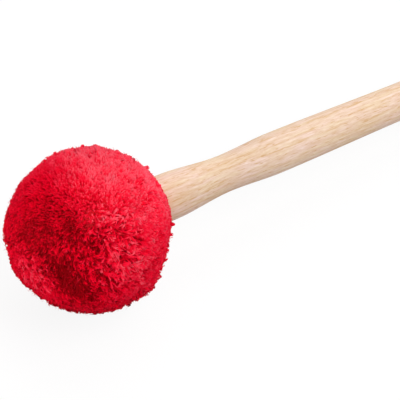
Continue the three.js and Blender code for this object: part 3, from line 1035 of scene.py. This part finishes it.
def body_pile():
    """Locks all over the ball, some of them lower than others."""
    ways = scattered(PILE_LOCKS)
    uneven = unevenness(ways)
    tones = smooth_field(ways, *LOCK_TONES)[:, 0]
    tones += varied(len(ways), LOCK_UNLIKENESS) * uneven
    # the place's mottle and painted light and shade, painted shade between the broad locks, less of it
    # where the pile lies calm
    tones += shade(ways) - LIVELY_PAINTED_SHADE * within(ways, LIVELY) + CALM_SHADE_LIFT * within(ways, CALM)
    tones -= added(ways, PAINTED_SHADE_SPOTS)
    drop = rng.uniform(size=len(ways)) ** DROP_POWER * LOCK_DROP * uneven
    tops = HEAD_RADIUS + relief(ways) - drop
    return lock_strands(ways, tops, combing(ways), tones, *LOCK_STRANDS)


def wisp_pile():
    """Thin paler wisps that lie over the locks; their paleness is a painted highlight."""
    ways = scattered(WISPS)
    left_out = CALM_WISPS * within(ways, CALM) + LIVELY_WISPS * within(ways, LIVELY)
    ways = ways[rng.uniform(size=len(ways)) > left_out]
    still = within(ways, CALM)
    tops = HEAD_RADIUS + relief(ways) + varied(len(ways), WISP_UNEVENNESS)
    own = varied(len(ways)) * (1 - CALM_LIKENESS * still)
    tones = WISP_HIGHLIGHT_TONE - CALM_TONE * still + own + shade(ways)
    return lock_strands(ways, tops, combing(ways), tones, *WISP_STRANDS)


def broad_pile():
    """Broader paler wisps where the pile is teased up; their paleness is a painted highlight."""
    ways = scattered(BROAD_WISPS)
    ways = ways[rng.uniform(size=len(ways)) < within(ways, LIVELY)]
    tops = HEAD_RADIUS + relief(ways) + varied(len(ways), BROAD_UNEVENNESS)
    tones = BROAD_HIGHLIGHT_TONE + varied(len(ways), BROAD_UNLIKENESS) + shade(ways)
    return lock_strands(ways, tops, combing(ways), tones, *BROAD_STRANDS)


def neck_pile():
    """Locks round the neck that turn in over the whipping and lie against the handle."""
    cord_outer = node_reach("tie_cord")[3]
    handle_radius = node_reach("rear_felt_pad")[2]
    strands, widths, _ = LOCK_STRANDS
    lock = np.repeat(np.arange(NECK_LOCKS), strands)
    count = len(lock)
    turn = rng.uniform(0, TURN, NECK_LOCKS)[lock] + varied(count, NECK_SPREAD)
    share = rng.uniform(0, 1, NECK_LOCKS)[lock]
    nearest = math.asin((handle_radius + NECK_TIP_GAP) / HEAD_RADIUS)
    tip_angle = blend((NECK_ANGLE, nearest), share)
    distance = HEAD_RADIUS - NECK_DROP - np.abs(varied(NECK_LOCKS, NECK_DROPS))[lock]
    distance += varied(count, NECK_TIP_SCATTER)
    root_radius = cord_outer + blend(NECK_ROOT_OUT, share)
    root_along = blend(NECK_ROOT_ALONG, share) + varied(count, NECK_ROOT_SCATTER)
    tip_radius = np.maximum(distance * np.sin(tip_angle), handle_radius + NECK_LEAST_GAP)
    bend_radius = root_radius + blend(NECK_BEND_OUT, share)
    swirl = varied(NECK_LOCKS, NECK_SWIRL)[lock]
    root = ring_points(root_along, root_radius, turn)
    bend = ring_points(root_along + NECK_BEND_ALONG, bend_radius, turn + swirl * BEND_LEAN)
    tip = ring_points(distance * np.cos(tip_angle), tip_radius, turn + swirl)
    width = rng.uniform(*widths, count)
    ways = unit(tip)
    zone = shade(ways) * TONE_SHARE
    own = NECK_TONE + varied(NECK_LOCKS, NECK_UNLIKENESS)[lock]
    own += varied(count, STRAND_UNLIKENESS)
    curl = np.cross(ways, unit(tip - bend)) * varied(NECK_LOCKS, CURL)[lock, None]
    return root, bend, tip, curl, width, zone + own, PALER + zone + own * OWN_PALENESS, facing(ways)


def tuft_pile():
    """Pointed tufts that stand out past the rest, on the outline and here and there."""
    marked = [picture_way(across, down) for across, down in OUTLINE_TUFTS]
    others = unit(varied((TUFTS, 3)))
    ways = np.array([*marked, *others[others[:, 0] < math.cos(NECK_ANGLE)]])
    tops = HEAD_RADIUS + relief(ways) + rng.uniform(*TUFT_HEIGHTS, len(ways))
    tops[:len(marked)] += OUTLINE_TUFT_HEIGHT
    tones = varied(len(ways), TUFT_UNLIKENESS) + shade(ways)
    return lock_strands(ways, tops, combing(ways) * TUFT_LEAN, tones, *TUFT_STRANDS)


def stray_pile():
    """Single thin fibres that escaped the trimming."""
    ways = unit(varied((STRAYS * 2, 3)))
    ways = ways[ways[:, 0] < math.cos(NECK_ANGLE)][:STRAYS]
    height = cover_height(ways) + rng.uniform(*STRAY_HEIGHTS, len(ways))
    lean = tangent_part(varied(ways.shape), ways) * STRAY_LEAN
    root = ways * (height - PILE_DEPTH)[:, None]
    tip = unit(ways * height[:, None] + lean) * height[:, None]
    bend = root + ways * PILE_DEPTH * STRAY_BEND + varied(ways.shape, STRAY_SWAY)
    width = rng.uniform(*STRAY_WIDTHS, len(ways))
    tone = varied(len(ways))
    return root, bend, tip, tip * 0, width, tone, tone * OWN_PALENESS, ways


RING_SHARES = (0.0, 0.45, 0.84)
RING_WIDTHS = (0.9, 1.0, 0.84)
STRAND_SIDES = 3
FLOOR_CLEARANCE = 0.05 * MM
SOFTNESS = 0.68  # how far a strand is shaded as part of the ball and not by its own round
MAP_INSET = 0.12  # share of a strand's cell in the map that is left free on each side


def strand_points(root, bend, tip, curl, width, surface):
    """Rings of three points up each strand's curve, then its tip; and the way each point faces."""
    count = len(root)
    ways = []
    reference = unit(np.random.default_rng(count).normal(size=(count, 3)))
    rows = []
    for share, wide in zip(RING_SHARES, RING_WIDTHS):
        left = 1 - share
        middle = left**2 * root + 2 * share * left * bend + share**2 * tip + 4 * share * left * curl
        along = unit(left * (bend - root) + share * (tip - bend) + 2 * (left - share) * curl)
        side = unit(np.cross(along, reference))
        other = np.cross(along, side)
        for s in range(STRAND_SIDES):
            angle = TURN * s / STRAND_SIDES
            offset = side * math.cos(angle) + other * math.sin(angle)
            rows.append(middle + offset * (width * wide / 2)[:, None])
            ways.append(unit(offset * (1 - SOFTNESS) + surface * SOFTNESS))
    rows.append(tip)
    ways.append(unit(unit(tip - bend) * (1 - SOFTNESS) + surface * SOFTNESS))
    return np.stack(rows, 1), np.stack(ways, 1)


def strand_faces():
    """Corner numbers and corner counts of one strand's faces, and the (round, up) map shares."""
    corners, totals, shares = [], [], []
    sides = STRAND_SIDES
    for k, up in enumerate(RING_SHARES):
        here, above = k * sides, (k + 1) * sides
        for s in range(sides):
            n = (s + 1) % sides
            left, right = s / sides, (s + 1) / sides
            corners += [here + s, here + n]
            shares += [(left, up), (right, up)]
            if up == RING_SHARES[-1]:
                corners.append(above)
                shares.append(((left + right) / 2, 1.0))
                totals.append(3)
            else:
                over = RING_SHARES[k + 1]
                corners += [above + n, above + s]
                shares += [(right, over), (left, over)]
                totals.append(4)
    corners.extend(reversed(range(sides)))
    totals.append(sides)
    shares += [(0.5, 0.0)] * sides
    return np.array(corners), np.array(totals), np.array(shares)


def strand_mesh(name, root, bend, tip, curl, width, tone, paleness, surface):
    """Tapering three-sided strands, each with its own cell of the OFBake map."""
    count = len(root)
    points, normals = strand_points(root, bend, tip, curl, width, surface)
    per = points.shape[1]
    world = to_world(points.reshape(-1, 3))
    world[:, 2] = np.maximum(world[:, 2], FLOOR_CLEARANCE)
    corners, totals, shares = strand_faces()
    each = np.arange(count)[:, None]
    starts = np.concatenate([[0], np.cumsum(totals)[:-1]])

    mesh = bpy.data.meshes.new(name)
    mesh.vertices.add(count * per)
    mesh.vertices.foreach_set("co", world.astype(np.float32).ravel())
    mesh.loops.add(count * len(corners))
    mesh.loops.foreach_set("vertex_index", (each * per + corners).astype(np.int32).ravel())
    mesh.polygons.add(count * len(totals))
    mesh.polygons.foreach_set("loop_start", (each * len(corners) + starts).astype(np.int32).ravel())
    mesh.polygons.foreach_set("use_smooth", np.ones(count * len(totals), bool))
    mesh.update(calc_edges=True)
    mesh.normals_split_custom_set_from_vertices(normals.reshape(-1, 3) @ LOCAL_AXES)

    columns = math.ceil(math.sqrt(count))
    cell = np.hstack([each % columns, each // columns])
    inset = MAP_INSET + shares * (1 - 2 * MAP_INSET)
    places = (cell[:, None, :] + inset[None]) / columns
    layer = mesh.uv_layers.new(name="OFBake")
    layer.data.foreach_set("uv", places.astype(np.float32).ravel())

    height = np.append(np.repeat(RING_SHARES, STRAND_SIDES), 1.0)
    tones, palenesses = np.repeat(tone, per), np.repeat(paleness, per)
    named = {"height": np.tile(height, count), "tone": tones, "paleness": palenesses}
    for label, values in named.items():
        attribute = mesh.attributes.new(label, "FLOAT", "POINT")
        attribute.data.foreach_set("value", values.astype(np.float32))
    return link(bpy.data.objects.new(name, mesh))


def make_pile():
    """All strands, split over pieces by their turn round the handle's axis."""
    piles = [body_pile(), wisp_pile(), broad_pile(), tuft_pile(), neck_pile(), stray_pile()]
    arrays = [np.concatenate(part) for part in zip(*piles)]
    root = arrays[0]
    order = np.argsort(np.arctan2(root[:, 2], root[:, 1]), kind="stable")
    shadowing = rng.uniform(size=len(root)) < SHADOWING_SHARE
    kinds = (("pile", ~shadowing, PILE_PIECES), ("shading_pile", shadowing, SHADOWING_PIECES))
    pieces = []
    for kind, chosen, count in kinds:
        for number, part in enumerate(np.array_split(order[chosen[order]], count)):
            piece = strand_mesh(f"{kind}_{number + 1}", *(array[part] for array in arrays))
            piece.visible_shadow = kind == "shading_pile"
            pieces.append(piece)
    return pieces


# The scene
add_camera()
add_lights()
add_floor()

# Wood: its pale, warm and dark colours, the width of its growth rings, and its roughness
ASH = (((0.89, 0.715, 0.665), (0.85, 0.7, 0.53), (0.65, 0.385, 0.19)), 2.6 * MM, 0.68)
BEECH = (((0.68, 0.44, 0.24), (0.66, 0.4, 0.2), (0.45, 0.26, 0.13)), 1.9 * MM, 0.7)
OAK = (((0.42, 0.23, 0.1), (0.4, 0.2, 0.08), (0.2, 0.1, 0.04)), 1.6 * MM, 0.7)
handle = turned("turned_handle", handle_profile(), HANDLE_SIDES)
cut_kerf(handle)
wear(handle, wood_material("ash", *ASH), "ash_wood", "handle")
paint(NODES["head_core"], wood_material("beech", *BEECH))
paint(NODES["tenon_wedge"], wood_material("oak", *OAK))

felt = cloth_material("grey_felt", *FELT)
wool = cloth_material("wool_wadding", *WOOL)
FELT_DENT = 0.12 * MM
WADDING_DENT = 0.5 * MM
wear(soft_copy("felt_strip", "felt_wrap", 1, FELT_DENT, 11), felt, "felt", "felt_wrap")
wear(soft_copy("front_felt", "front_felt_pad", 3, FELT_DENT, 12), felt, "felt", "front_felt_pad")
wear(soft_copy("rear_felt", "rear_felt_pad", 3, FELT_DENT, 13), felt, "felt", "rear_felt_pad")
wadding = soft_copy("wool_wadding", "head_padding", 2, WADDING_DENT, 14)
wear(wadding, wool, "wool_padding", "head_padding")

ground = turned("plush_ground", cover_profile(), COVER_SIDES, lumpy_ground)
wear(ground, cloth_material("red_backing", *BACKING), "red_plush", "plush_cover")
wear(make_whipping(), cloth_material("waxed_cord", *CORD), "red_cord", "tie_cord")
pile = pile_material()
for piece in make_pile():
    wear(piece, pile, "red_plush", "plush_cover")

bpy.context.scene.view_settings.view_transform = "Standard"
